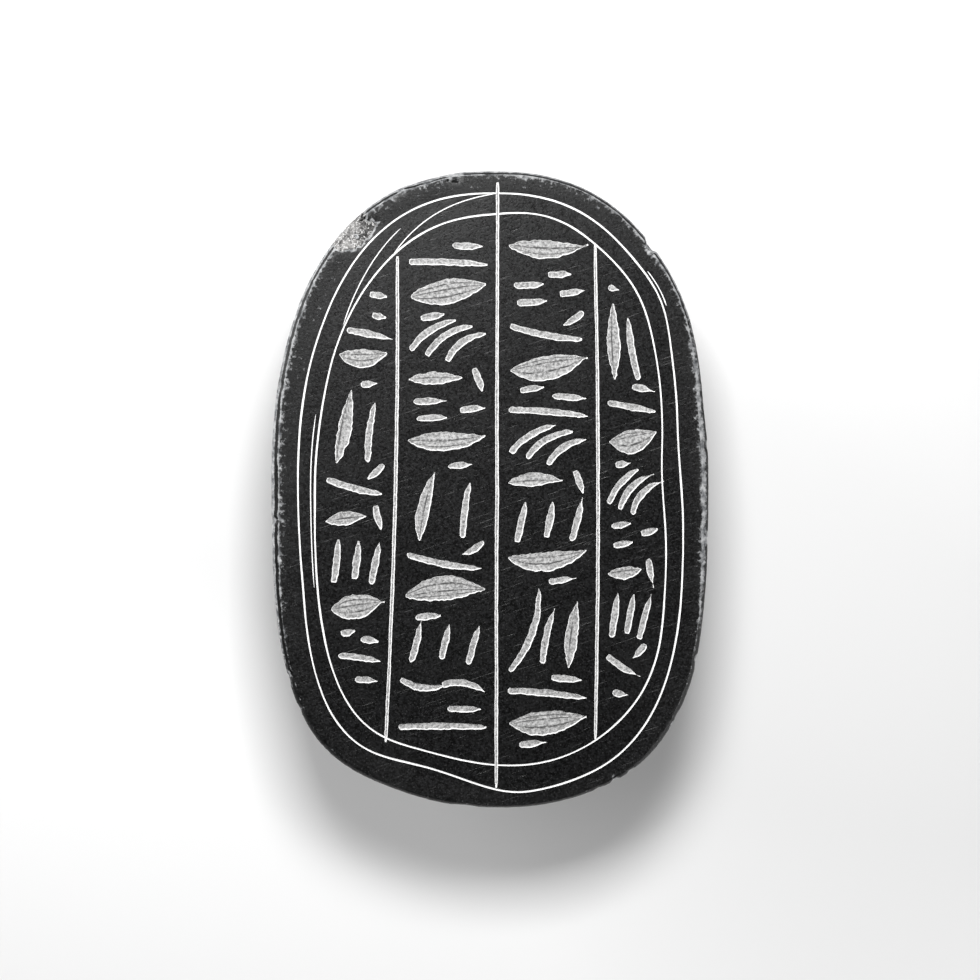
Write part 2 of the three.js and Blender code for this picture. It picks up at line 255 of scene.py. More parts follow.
# The large chip's corners, anticlockwise, as shares of the half width and half length
LARGE_CHIP = [
    (-0.72, 0.79), (-0.684, 0.755), (-0.645, 0.765), (-0.6, 0.772), (-0.56, 0.795), (-0.515, 0.833),
    (-0.525, 0.852), (-0.56, 0.838), (-0.58, 0.895), (-0.66, 0.9),
]
large_chip_depth = 0.62


def inside_outline(x, y, corners):
    """Distance in from a closed outline, negative outside it."""
    loop = np.array(corners + corners[:1])
    distance, _ = distance_to_line(x, y, loop)
    inside = np.zeros(np.shape(x), bool)
    for (ax, ay), (bx, by) in zip(loop[:-1], loop[1:]):
        crossing = (ay > y) != (by > y)
        at = ax + (y - ay) / ((by - ay) or 1e-9) * (bx - ax)
        inside ^= crossing & (x < at)
    return np.where(inside, distance, -distance)


def large_chip_drop(x, y):
    corners = [(px * half_width, py * half_length) for px, py in LARGE_CHIP]
    bent = 0.22 * noise(x, y, 0, 1.1, 51)
    inward = inside_outline(x + bent, y - bent, corners)
    facets = 0.55 + 0.75 * layered(1.6 * x + y, y - 0.5 * x, 0, 2.1, 54)
    drop = np.where(inward > 0, np.minimum(large_chip_depth * facets, 0.9 * inward + 0.06), 0)
    return np.maximum(drop, 0)


def small_chip_drop(x, y):
    drop = np.zeros(np.shape(x))
    for k, (turn, inset, along, across, depth) in enumerate(CHIPS):
        angle = math.radians(turn)
        radius = outline(angle) - inset * length
        dx = x - radius * math.cos(angle)
        dy = y - radius * math.sin(angle)
        out = (dx * math.cos(angle) + dy * math.sin(angle)) / (across * length)
        side = (-dx * math.sin(angle) + dy * math.cos(angle)) / (along * length)
        ragged = 1 + 0.28 * noise(x, y, 0, 0.28 * along * length + 0.3, 60 + k)
        inside = 1 - (out * out + side * side) * ragged
        shape = np.sqrt(np.clip(inside, 0, 1)) * (0.75 + 0.25 * noise(x, y, 3, 0.7, 80 + k))
        drop = np.maximum(drop, depth * length * shape)
    return drop


def chip_drop(x, y):
    """How far below the face the chips' rough surface lies at (x, y), in millimetres; 0 outside them."""
    return np.maximum(large_chip_drop(x, y), small_chip_drop(x, y))


def chip_wear(x, y):
    outer_share = ease(-x / half_width - 0.35 * y / half_length, 0.28, 0.37)
    large = 1.0 + 0.3 * outer_share
    return np.where(large_chip_drop(x, y) > 0.03, large, np.where(small_chip_drop(x, y) > 0.06, 0.74, 0.0))


# Beetle: the back's height, the carved lines and the legs, as in the solid

plinth_underside = thickness - plinth_height
channel_top = plinth_underside - channel_fillet_radius


def edge_height(angle):
    headness = ease(np.sin(angle), 0.72, 0.97)
    return channel_top - mix(channel_height, head_channel_height, headness)


def back_height(angle, share):
    run = np.clip((share - flat_share) / (1 - flat_share), 0, 1)
    lift = (1 - run ** dome_run) ** (1 / dome_lift)
    towards_head = share * np.maximum(0, np.sin(angle))
    slope = 1 - head_slope * ease(towards_head, slope_start, slope_end) * (1 - ease(run, lip_share, 1))
    return edge_height(angle) * (1 - lift * slope)


def seam_line(start, end, sag, count=40):
    t = np.linspace(0, 1, count)
    x = mix(start[0], end[0], t) * half_width
    y = (mix(start[1], end[1], t) + sag * 4 * t * (1 - t)) * half_length
    return np.stack([x, y], 1)


# Carved lines of the back, with their depth and half width in millimetres
BACK_SEAMS = [
    (seam_line((0, 0.2), (0, -0.96), 0), seam_depth, 0.95),
    (seam_line((-0.94, 0.33), (0.94, 0.33), -0.11), seam_depth, 0.95),
    (seam_line((-0.9, 0.365), (0.9, 0.365), -0.107), 0.3, 0.55),
    (seam_line((-0.6, 0.69), (0.6, 0.69), -0.11), seam_depth, 0.95),
]
for side in (-1, 1):
    BACK_SEAMS.append((seam_line((0.17 * side, 0.59), (0.33 * side, 0.88), 0), seam_depth, 0.95))
    BACK_SEAMS.append((seam_line((0.56 * side, 0.27), (0.47 * side, 0.07), 0), seam_depth, 0.95))
    BACK_SEAMS.append((seam_line((0.38 * side, 0.24), (0.47 * side, 0.07), 0), seam_depth, 0.95))


def back_carving(x, y, share):
    """Depth of the carving below the smooth back, in millimetres; raised forms are negative."""
    carved = np.zeros(np.shape(x))
    for line, depth, half in BACK_SEAMS:
        d, _ = distance_to_line(x, y, line)
        carved = np.maximum(carved, depth * np.clip(1 - (d / half) ** 2, 0, 1))
    behind = ease(-(y / half_length - 0.33 + 0.11 * (1 - (x / half_width / 0.94) ** 2)), 0.02, 0.05)
    fade = behind * ease(share, flat_share, flat_share + 0.12) * (1 - ease(share, 0.93, 1))
    taper = 0.35 + 0.65 * np.sqrt(np.clip(1 - (y / half_length) ** 2, 0, 1))
    for place in (0.26, 0.5, 0.74):
        away = np.abs(np.abs(x) / half_width - place * taper) * half_width
        carved = np.maximum(carved, 0.3 * fade * np.exp(-((away / 0.38) ** 2)))
    for side in (-1, 1):
        d = np.hypot(x - side * eye_across * half_width, y - eye_along * half_length)
        dome = np.sqrt(np.clip(eye_radius ** 2 - d ** 2, 0, None)) - eye_seat * eye_radius
        carved = np.where(dome > 0, np.minimum(carved, -dome), carved)
        ring = np.exp(-(((d - eye_radius * 1.12) / 0.35) ** 2))
        carved = np.where(dome > 0, carved, np.maximum(carved, 0.35 * ring))
    return carved


# Legs of one side: angle in degrees, share of the channel's height, and how far the leg sinks in there
LEG_PLACES = [
    [(32, -0.1, 1), (40, 0.2, 0), (50, 0.62, 0), (62, 0.8, 0), (74, 0.8, 1)],
    [(25, 0, 1), (18, 0.3, 0), (8, 0.72, 0), (-2, 0.84, 0), (-12, 0.9, 1)],
    [(-4, -0.1, 1), (-14, 0.25, 0), (-28, 0.66, 0), (-47, 0.8, 0), (-66, 0.8, 1)],
]


def smooth_route(places, count=33):
    """A smooth curve through the places."""
    p = np.array(places, float)
    p = np.vstack([2 * p[0] - p[1], p, 2 * p[-1] - p[-2]])
    route = []
    for k in np.linspace(0, len(places) - 1, count):
        i = min(int(k), len(places) - 2)
        t = k - i
        a, b, c, d = p[i:i + 4]
        route.append(0.5 * (2 * b + (c - a) * t + (2 * a - 5 * b + 4 * c - d) * t ** 2
                            + (3 * b - a - 3 * c + d) * t ** 3))
    return np.array(route)


def leg_reach(angle, height):
    """How far the legs stand out of the channel's wall at an angle and height, in millimetres."""
    reach = np.full(np.shape(angle), -1e3)
    for places in LEG_PLACES:
        for side in (1, -1):
            route = smooth_route(places)
            turn = np.radians(route[:, 0] if side > 0 else 180 - route[:, 0])
            radius = outline(turn) - channel_depth
            middle = mix(edge_height(turn), channel_top, route[:, 1])
            middle_turn = turn[len(turn) // 2]
            arc = np.angle(np.exp(1j * (angle - middle_turn))) * np.mean(radius)
            route_arc = np.angle(np.exp(1j * (turn - middle_turn))) * np.mean(radius)
            line = np.stack([route_arc, middle], 1)
            d, along = distance_to_line(arc, height, line)
            travelled = np.concatenate([[0], np.cumsum(np.hypot(*np.diff(line, axis=0).T))])
            sink = np.interp(along, travelled, route[:, 2])
            bump = np.sqrt(np.clip(leg_radius ** 2 - d ** 2, 0, None)) + (leg_seat - sink) * leg_radius
            bump = bump - leg_flank_slope * np.maximum(0, d - leg_radius)
            part = along / travelled[-1]
            shin = ease(part, knee_place, 0.5) * (1 - ease(part, 0.9, 1))
            hatch = 0.5 + 0.5 * np.cos(TAU * (along + 0.5 * d) / hatch_spacing)
            bump = bump - hatch_depth * shin * hatch ** 6
            knee = np.exp(-(((part - knee_place) / 0.02) ** 2))
            bump = bump - knee_depth * knee
            reach = np.where(d < leg_radius + leg_flank_width, np.maximum(reach, bump), reach)
    return reach


# Grooves of the inscribed face. Each has a centre line, half widths along it to both sides, a depth, and how
# many scratches lie side by side in it.

def resample(points, step, closed=False):
    points = np.asarray(points, float)
    if closed:
        points = np.vstack([points, points[:1]])
    travelled = np.concatenate([[0], np.cumsum(np.hypot(*np.diff(points, axis=0).T))])
    count = max(4, int(round(travelled[-1] / step)) + 1)
    at = np.linspace(0, travelled[-1], count)
    places = np.stack([np.interp(at, travelled, points[:, k]) for k in (0, 1)], 1)
    return places[:-1] if closed else places


def groove(centre, half, depth, scratches, seed, ragged, closed=False, lean=0.0):
    centre = np.asarray(centre, float)
    if closed:
        ahead = np.roll(centre, -1, 0) - np.roll(centre, 1, 0)
    else:
        ahead = np.gradient(centre, axis=0)
    ahead /= np.hypot(*ahead.T)[:, None]
    across = np.stack([-ahead[:, 1], ahead[:, 0]], 1)
    x, y = centre.T
    sides = []
    for k in (0, 1):
        rough = noise(x, y, seed, 0.45, 7 + k) + 0.8 * noise(x, y, seed, 1.5, 17 + k)
        wide = half * (1 - lean if k == 0 else 1 + lean)
        sides.append(np.maximum(wide + ragged * rough * np.minimum(1, wide / 0.3), 0.02))
    return {
        "centre": centre, "across": across, "left": sides[0], "right": sides[1],
        "depth": depth, "scratches": scratches, "seed": seed, "closed": closed,
    }


def border_groove(radius_at, seed):
    angle = np.linspace(0, TAU, 900, endpoint=False)
    radius = radius_at(angle) + 0.09 * layered(30 * np.cos(angle), 30 * np.sin(angle), 0, 9, seed)
    centre = resample(ring_points(angle, radius), line_step, closed=True)
    swell = 1 + 0.22 * noise(centre[:, 0], centre[:, 1], 1, 7, seed + 3)
    return groove(centre, border_line_width / 2 * swell, line_depth, 1, seed, 0.025, closed=True)


# Stray cuts beside the border lines: first and last angle, and their places from the outer line to the inner
STRAY_LINES = [(89, 112, 0, 0.96), (109, 131, 0.38, 0.94), (155, 207, 0.74, 0.78), (47, 55, -0.2, -0.2)]


def stray_groove(number, start, end, first, last):
    t = np.linspace(0, 1, 60)
    angle = np.radians(mix(start, end, t))
    radius = mix(outer_line(angle), inner_line(angle), mix(first, last, t))
    centre = resample(ring_points(angle, radius), line_step)
    swell = np.clip(3 * np.sin(np.linspace(0.12, math.pi - 0.12, len(centre))), 0.2, 1)
    return groove(centre, 0.3 * border_line_width * swell, 0.8 * line_depth, 1, 31 + number, 0.02)


# Rules that part the four columns, as shares of the half length and half width
RULES = [
    (0.74, -0.776, (-0.429, -0.444, -0.49)),
    (0.966, -0.93, (0.023, 0.02, 0.017)),
    (0.776, -0.782, (0.466, 0.484, 0.477)),
]


def rule_across(rule, y):
    top, bottom, (first, middle, last) = rule
    t = np.clip((top - y / half_length) / (top - bottom), 0, 1)
    bow = middle - (first + last) / 2
    return half_width * (mix(first, last, t) + bow * 4 * t * (1 - t))


def rule_groove(number, rule):
    y = np.linspace(rule[0], rule[1], 400) * half_length
    x = rule_across(rule, y) + 0.07 * layered(number * 9.0, y, 0, 11, 41)
    centre = resample(np.stack([x, y], 1), line_step)
    t = np.linspace(0, 1, len(centre))
    half = rule_width / 2 * np.interp(t, [0, 0.006, 0.5, 0.985, 1], [0.55, 0.85, 1, 0.9, 0.45])
    half = half * (1 + 0.1 * noise(centre[:, 0], centre[:, 1], 2, 5, 44))
    return groove(centre, half, rule_depth, 1, 40 + number, 0.045)


def border_across(y):
    along = half_length - inner_line_inset
    power = head_roundness if y > 0 else tail_roundness
    return (half_width - inner_line_inset) * (1 - min(1, abs(y) / along) ** power) ** (1 / power)


def column_edges(column, y):
    left = -border_across(y) if column == 0 else rule_across(RULES[column - 1], y)
    right = border_across(y) if column == 3 else rule_across(RULES[column], y)
    return left + column_margin_width, right - column_margin_width


# Signs are groups of plain strokes, with no meaning: rows, then strokes with two ends in shares of the
# column's width and the row's height, how many scratches wide, and the bow as a share of the length
SIGNS = {
    "dash": (0.75, [(-0.2, 0.44, 0.42, 0.56, 1, 0)]),
    "bar": (1, [(-0.46, 0.62, 0.48, 0.82, 1, 0.015), (0.06, 0.16, 0.42, 0.24, 1, 0)]),
    "shell": (1.3, [(-0.46, 0.26, 0.46, 0.2, 3, -0.08), (0.02, 0.92, 0.3, 0.88, 1, 0)]),
    "pod": (1.4, [(-0.44, 0.5, 0.46, 0.3, 4, 0.02), (-0.32, 0.98, -0.04, 0.92, 1, 0)]),
    "pair": (2.2, [(-0.3, 0.98, -0.14, 0.02, 2, 0.03), (0.2, 0.98, 0.28, 0.2, 1, 0.03)]),
    "tick": (1.1, [(-0.44, 0.36, 0.42, 0.84, 1, -0.03), (0.44, 0.06, 0.2, 0.42, 1, 0.06)]),
    "spindle": (1, [(-0.46, 0.56, 0.18, 0.44, 2, 0.02), (0.32, 0.14, 0.42, 0.84, 1, 0)]),
    "wave": (1.2, [(-0.46, 0.3, 0.02, 0.5, 1, -0.12), (0, 0.5, 0.46, 0.7, 1, 0.12)]),
    "dashes": (1.05, [
        (-0.4, 0.22, -0.04, 0.18, 1, 0),
        (-0.36, 0.74, 0, 0.68, 1, 0),
        (0.16, 0.46, 0.46, 0.36, 1, 0),
    ]),
    "fan": (1.4, [
        (-0.44, 0.72, 0.1, 0.06, 1, 0.1),
        (-0.24, 0.84, 0.3, 0.2, 1, 0.12),
        (0, 0.96, 0.46, 0.36, 1, 0.14),
    ]),
    "trio": (1.5, [
        (-0.36, 0.92, -0.26, 0.08, 1, 0),
        (-0.02, 0.84, 0.06, 0.1, 1, 0),
        (0.28, 0.94, 0.4, 0.12, 1, 0),
    ]),
    "sweep": (2.8, [
        (-0.44, 0.98, -0.1, 0.04, 1, -0.1),
        (-0.04, 0.9, 0.08, 0.3, 1, 0.03),
        (0.26, 0.96, 0.36, 0.2, 2, 0.03),
    ]),
}

COLUMNS = [
    (0.66, -0.62, ["dash", "bar", "shell", "pair", "tick", "spindle", "trio", "pod", "bar", "dash"]),
    (0.79, -0.76, ["bar", "pod", "fan", "spindle", "dashes", "shell", "pair", "tick", "pod", "trio", "wave",
                  "bar"]),
    (0.8, -0.8, ["shell", "dashes", "tick", "pod", "bar", "fan", "spindle", "trio", "shell", "sweep", "bar",
                 "pod"]),
    (0.68, -0.68, ["dash", "pair", "bar", "pod", "fan", "dashes", "spindle", "trio", "tick", "dash"]),
]

# Shares of a narrow stroke's length and of its width there, and how the strokes vary
BAR_STATIONS = ([0, 0.5, 1], [0.8, 1, 0.62])
scratch_overlap = 0.8
unevenness = 0.05


def stroke_groove(start, end, scratches, bow, seed):
    start = np.array(start)
    along = np.array(end) - start
    size = math.hypot(*along)
    across = np.array([-along[1], along[0]]) / size
    count = max(7, int(round(size / stroke_step)) + 1)
    slip = max(0.0, 1.6 * (lattice(seed, 6, 0, 3) - 0.45))
    slip_at = np.linspace(0, slip, int(slip / stroke_step) + 1)[1:] / size
    t = np.concatenate([np.linspace(0, 1, count), 1 + slip_at])
    centre = start + along * t[:, None] + across * (bow * size * 4 * t * (1 - t))[:, None]
    if scratches == 1:
        blunt = 0.5 + 0.3 * lattice(seed, 1, 0, 3)
        thin = 0.22 + 0.2 * lattice(seed, 2, 0, 3)
        swell = np.interp(t, *BAR_STATIONS)
        swell = swell * np.clip(blunt + t * size / 0.5, 0, 1) * np.clip(thin + (1 - t) * size / 1.3, 0, 1)
        swell = np.where(t > 1, 0.1, swell)
        lean = 0.25 * lattice(seed, 3, 0, 3)
        ragged = 0.09
    else:
        swell = np.sin(math.pi * np.minimum(t, 1) ** 0.9) ** 0.78
        swell = np.maximum(swell, 0.07)
        lean = 0.12 + 0.5 * lattice(seed, 4, 0, 3)
        ragged = 0.15
    half = stroke_width / 2 * (1 + scratch_overlap * (scratches - 1)) * swell
    return groove(centre, half, stroke_depth, scratches, seed, ragged, lean=lean)


def inscription():
    grooves = []
    for column, (top, bottom, names) in enumerate(COLUMNS):
        row_height = (top - bottom) * half_length / sum(SIGNS[name][0] for name in names)
        row_top = top * half_length
        for index, name in enumerate(names):
            rows, strokes = SIGNS[name]
            height = rows * row_height
            tilt = unevenness * math.sin(5.1 * index + 2.3 * column)

            def place(across, down):
                y = row_top - down * height
                left, right = column_edges(column, y)
                x = mix(left, right, across + 0.5)
                return x, y + tilt * (x - (left + right) / 2)

            for k, (x0, y0, x1, y1, scratches, bow) in enumerate(strokes):
                seed = 100 + 40 * column + 3.7 * index + k
                grooves.append(stroke_groove(place(x0, y0), place(x1, y1), scratches, bow, seed))
            row_top -= height
    return grooves


def groove_outline(item):
    """The two sides of a groove, as lines of points."""
    left = item["centre"] + item["across"] * item["left"][:, None]
    right = item["centre"] - item["across"] * item["right"][:, None]
    return left, right


def groove_rails(item):
    """Lines of points inside a groove that carry its section."""
    count = item["scratches"]
    if count > 1:
        places = [-0.92] + [k / count - 1 for k in range(1, 2 * count)] + [0.92]
    elif item["depth"] > line_depth:
        places = [-0.8, 0, 0.8]
    else:
        places = [0]
    rails = []
    for share in places:
        wide = item["left"] if share >= 0 else item["right"]
        rail = item["centre"] + item["across"] * (share * wide)[:, None]
        rails.append(rail if item["closed"] else rail[1:-1])
    return rails


def groove_section(item, x, y):
    """Depth of a groove at places, where they lie along and across it, and how far in from its side."""
    centre = item["centre"]
    if item["closed"]:
        centre = np.vstack([centre, centre[:1]])
        left = np.append(item["left"], item["left"][0])
        right = np.append(item["right"], item["right"][0])
    else:
        left, right = item["left"], item["right"]
    best = np.full(x.shape, 1e9)
    u = np.zeros(x.shape)
    v = np.zeros(x.shape)
    width_here = np.zeros(x.shape)
    travelled = 0.0
    for k in range(len(centre) - 1):
        (ax, ay), (bx, by) = centre[k], centre[k + 1]
        dx, dy = bx - ax, by - ay
        size = math.hypot(dx, dy)
        t = np.clip(((x - ax) * dx + (y - ay) * dy) / size ** 2, 0, 1)
        ox, oy = x - ax - t * dx, y - ay - t * dy
        d = np.hypot(ox, oy)
        near = d < best
        best = np.where(near, d, best)
        sign = np.where(dx * oy - dy * ox >= 0, 1, -1)
        wide = np.where(sign > 0, mix(left[k], left[k + 1], t), mix(right[k], right[k + 1], t))
        u = np.where(near, travelled + t * size, u)
        v = np.where(near, sign * d / wide, v)
        width_here = np.where(near, wide, width_here)
        travelled += size
    widest = max(left.max(), right.max())
    rim_in = np.maximum(1 - np.abs(v), 0) * width_here * (item["depth"] > line_depth)
    ramp = np.clip((1 - np.abs(v)) * widest / groove_wall, 0, 1)
    if not item["closed"]:
        ramp = ramp * np.clip((np.minimum(u, travelled - u) + 0.04) / 0.2, 0, 1)
        rim_in = np.minimum(rim_in, np.minimum(u, travelled - u) + 0.02)
    depth = item["depth"] * ramp
    if item["scratches"] > 1:
        lane = np.abs(((v + 1) / 2 * item["scratches"]) % 1 - 0.5) * 2
        ridge = ease(lane, 0.55, 1) * np.clip(0.55 + 0.7 * noise(u, v, item["seed"], 2.2, 5), 0, 1)
        depth = depth * (1 - 0.62 * ridge)
    depth = depth * (1 + 0.2 * noise(x, y, item["seed"], 0.7, 11))
    return np.where(np.abs(v) <= 1.0001, depth, 0), u, v, rim_in


def face_ground(x, y):
    """Slight hollows and rises left by grinding the face, in millimetres below its highest plane."""
    wide = 0.05 * (1 + layered(x, y, 0, 16, 21)) + 0.012 * (1 + noise(x, y, 0, 1.6, 25))
    radius = np.hypot(x, y) / outline(np.arctan2(y, x))
    return wide * (1 - ease(radius, 0.93, 0.965))


# Bevel width round the edge, worn unevenly

def bevel_width(angle):
    even = mix(bevel_side_width, bevel_end_width, np.sin(angle) ** 2)
    x, y = 40 * np.cos(angle), 40 * np.sin(angle)
    return even * (1 + 0.16 * layered(x, y, 0, 5, 91) + 0.1 * noise(x, y, 0, 1.1, 95))


# Small bites out of the edge: angle, spread in degrees and depth in millimetres
NICKS = [
    (57.3, 1.5, 0.6), (101, 4.5, 0.2), (309.8, 1.1, 0.16), (320.3, 1.4, 0.2), (289.6, 0.8, 0.16),
    (293.2, 0.9, 0.24), (296.6, 0.8, 0.18), (265.2, 2.2, 0.15), (222, 1.2, 0.26), (227.8, 1, 0.2),
    (186, 0.9, 0.16), (12, 1.1, 0.14), (347, 0.9, 0.16), (152, 1, 0.14),
]


def nick(angle):
    bite = np.zeros(np.shape(angle))
    for centre, spread, depth in NICKS:
        bite = bite + depth * np.clip(1 - (degrees_from(angle, centre) / spread) ** 2, 0, 1) ** 0.7
    rough = noise(60 * np.cos(angle), 60 * np.sin(angle), 0, 0.9, 99)
    return bite * (1 + 0.3 * rough) + 0.05 * np.maximum(rough, 0)


# Ring grid from the face's edge down the side, through the channel and over the beetle's back

steps = list(np.linspace(0, 360, columns_evenly, endpoint=False))
for centre, spread, _ in NICKS:
    steps += list((centre + np.linspace(-1.15, 1.15, 9) * spread) % 360)
steps = np.sort(np.array(steps) % 360)
keep = np.concatenate([[True], np.diff(steps) > 0.17])
angle = np.radians(steps[keep])
columns_around = len(angle)
outer = outline(angle)
edge = edge_height(angle)
even = np.ones(columns_around)

insets = []
heights = []
wear_and_painted_light_rings = []


def add_ring(inset, height, wear_and_painted_light):
    insets.append(inset * even)
    heights.append(height * even)
    wear_and_painted_light_rings.append(wear_and_painted_light * even)


width = bevel_width(angle)
bite = nick(angle)
for s in np.linspace(0, 1, bevel_rows):
    turn = s * math.pi / 2
    inward = width * mix(1 - s, 1 - math.sin(turn), 0.45)
    down = bevel_depth * mix(s, 1 - math.cos(turn), 0.45)
    # Across the bevel: a pale line of real wear, then a dark line of bare stone as painted shade under the
    # arris, then a pale painted highlight where the lower bevel catches the lamps. On the right the band
    # fades out towards the foot with no painted highlight, and all of it is halved towards the bottom end as
    # painted shade.
    bevel_wear_and_painted_light = np.interp(s, [0, 0.17, 0.33, 0.5, 0.67, 0.83, 1], [0.55, 0.8, 0.2, 0.2, 0.8, 0.83, 0.83])
    right_band = np.interp(s, [0, 0.15, 0.35, 0.6, 0.8, 1], [0.55, 0.83, 0.74, 0.56, 0.34, 0])
    bevel_wear_and_painted_light = mix(bevel_wear_and_painted_light, right_band, ease(np.cos(angle), 0.55, 0.95))
    add_ring(inward + bite, thickness - down, bevel_wear_and_painted_light * mix(1, 0.5, ease(-np.sin(angle), 0.25, 0.85)))
# Top of the side wall: real wear, with a painted highlight that grows towards the upper left where the
# polished wall catches the lamps; both fade down the wall.
wall_highlight_and_wear = mix(0.42, 0.8, ease(np.cos(angle - math.radians(150)), -0.2, 0.9))
wall_top = thickness - bevel_depth - bevel_foot_drop
wall_bottom = plinth_underside + plinth_edge_radius
add_ring(bite + bevel_foot_inset, wall_top, wall_highlight_and_wear)
for t in np.linspace(0, 1, wall_rows)[1:]:
    down = t * (wall_top - wall_bottom)
    inward = mix(bevel_foot_inset, plinth_taper_width, t) + bite * (1 - ease(down, 0, 2.4))
    add_ring(inward, wall_top - down, mix(wall_highlight_and_wear, 0.2, t ** 0.5))
for turn in np.linspace(0, math.pi / 2, 5)[1:]:
    inward = plinth_taper_width + plinth_edge_radius * (1 - math.cos(turn))
    add_ring(inward, wall_bottom - plinth_edge_radius * math.sin(turn), 0.3)
underside_start = plinth_taper_width + plinth_edge_radius
underside_end = channel_depth - channel_fillet_radius
for t in np.linspace(0, 1, 5)[1:]:
    add_ring(mix(underside_start, underside_end, t), plinth_underside, 0)
for turn in np.linspace(0, math.pi / 2, 5)[1:]:
    inward = underside_end + channel_fillet_radius * math.sin(turn)
    add_ring(inward, channel_top + channel_fillet_radius * math.cos(turn), 0)
channel_floor = edge + lip_height
for t in np.linspace(0, 1, 18)[1:]:
    add_ring(channel_depth, mix(channel_top, channel_floor, t), 0)
for t in np.linspace(0, 1, 5)[1:]:
    lip = mix(channel_floor, edge + lip_height / 2, t ** 1.5)
    add_ring(mix(channel_depth, body_inset + lip_width, t), lip, 0)
for turn in np.linspace(0, math.pi / 2, 4)[1:]:
    inward = body_inset + lip_width * (1 - math.sin(turn))
    add_ring(inward, edge + lip_height / 2 * math.cos(turn), 0.25)
dome_start = len(insets)
for turn in np.linspace(0, math.pi / 2, 60)[1:]:
    run = max(0, math.cos(turn)) ** (2 / dome_run)
    share = flat_share + (1 - flat_share) * run
    radius = share * (outer - body_inset)
    add_ring(outer - radius, back_height(angle, share), 0.05)
REST_RINGS = (0.19, 0.14, 0.09, 0.045)
for share in REST_RINGS:
    add_ring(outer - share * (outer - body_inset), 0, 0.1)

inset = np.array(insets)
height = np.array(heights)
wear_and_painted_light = np.array(wear_and_painted_light_rings)
row_count = len(inset)
grid_size = row_count * columns_around
turns = np.broadcast_to(angle, inset.shape)

# Legs stand out of the channel's wall, and small notches cut the head's edge
reach = leg_reach(turns, height)
legs = (reach > 0) & (height < channel_top + 0.9) & (height > edge - leg_radius - 0.6)
covered = legs & (channel_depth - reach < inset)
inset = np.where(covered, channel_depth - reach, inset)
wear_and_painted_light = np.where(covered, 0.12, wear_and_painted_light)
for turn in (68, 82, 98, 112):
    arc = (turns - math.radians(turn)) * (outer - body_inset)
    hollow = np.sqrt(np.clip(head_notch_radius ** 2 - arc ** 2, 0, None))
    notch = body_inset - 0.4 * head_notch_radius + hollow
    in_notch = (np.abs(arc) < head_notch_radius) & (height < edge + lip_height / 2 + 0.05) & (inset < notch)
    inset = np.where(in_notch, notch, inset)

x = (outer - inset) * np.cos(turns)
y = (outer - inset) * np.sin(turns)
drop = chip_drop(x, y)
past = np.maximum(0, drop[bevel_rows - 1] - bevel_depth)
below = np.clip((thickness - bevel_depth - height) / (plinth_height - bevel_depth), 0, 1)
height[:bevel_rows] = np.minimum(height[:bevel_rows], thickness - drop[:bevel_rows])
wall = slice(bevel_rows, bevel_rows + wall_rows)
height[wall] -= (past * (1 - below) ** 2)[wall]
wear_and_painted_light[:bevel_rows] = np.maximum(chip_wear(x[:bevel_rows], y[:bevel_rows]), wear_and_painted_light[:bevel_rows])
wear_and_painted_light[:bevel_rows + 3] = np.maximum(wear_and_painted_light[:bevel_rows + 3], np.clip(bite / 0.5, 0, 0.62))
grid = np.stack([x, y, height], 2)

# Push the grid in and out along its own normal: carving on the back, and the marks of hand tools
tangent = np.roll(grid, -1, 1) - np.roll(grid, 1, 1)
downward = np.gradient(grid, axis=0)
normal = np.cross(downward, tangent)
normal /= np.maximum(np.linalg.norm(normal, axis=2, keepdims=True), 1e-9)
back_share = (outer - inset) / (outer - body_inset)
carved = np.zeros(inset.shape)
back = slice(dome_start, row_count)
carved[back] = back_carving(x[back], y[back], back_share[back]) * (1 - ease(back_share[back], 0.985, 1))
carved[back] = np.where(covered[back], 0, carved[back])
marks = 0.09 * layered(x, y, height, 5.5, 71) + 0.03 * noise(x, y, height, 1.1, 75)
quiet = np.ones(inset.shape)
quiet[0] = 0
quiet[1:bevel_rows] = 0.45
quiet[back_share <= flat_share + 0.02] = 0
quiet[-len(REST_RINGS):] = 0
grid = grid - normal * (carved - marks * quiet)[:, :, None]
wear_and_painted_light = np.where(carved > 0.12, np.maximum(wear_and_painted_light, 0.3), wear_and_painted_light)
grid[:, :, 2] = np.clip(grid[:, :, 2], 0, thickness)
grid[0] = np.stack([x[0], y[0], height[0]], 1)

# Inscribed face: every groove's outline and rails are edges of one triangulation

grooves = [border_groove(outer_line, 3), border_groove(inner_line, 8)]
grooves += [stray_groove(k, *line) for k, line in enumerate(STRAY_LINES)]
grooves += [rule_groove(k, rule) for k, rule in enumerate(RULES)]
grooves += inscription()

points = [tuple(p) for p in grid[0, :, :2]]
edges = []
faces = [list(range(columns_around))]
face_groove = [None]
outline_points = list(points)
for number, item in enumerate(grooves):
    left, right = groove_outline(item)
    loops = [(right, 1), (left, -1)] if item["closed"] else [(np.vstack([right, left[::-1]]), 1)]
    for loop, sign in loops:
        first = len(points)
        points += [tuple(p) for p in loop]
        faces.append(list(range(first, len(points))))
        face_groove.append((number, sign))
        outline_points += points[first:]
    for rail in groove_rails(item):
        first = len(points)
        points += [tuple(p) for p in rail]
        edges += [(k, k + 1) for k in range(first, len(points) - 1)]
        if item["closed"]:
            edges.append((len(points) - 1, first))

groove_sides = KDTree(len(outline_points))
for k, p in enumerate(outline_points):
    groove_sides.insert((p[0], p[1], 0), k)
groove_sides.balance()


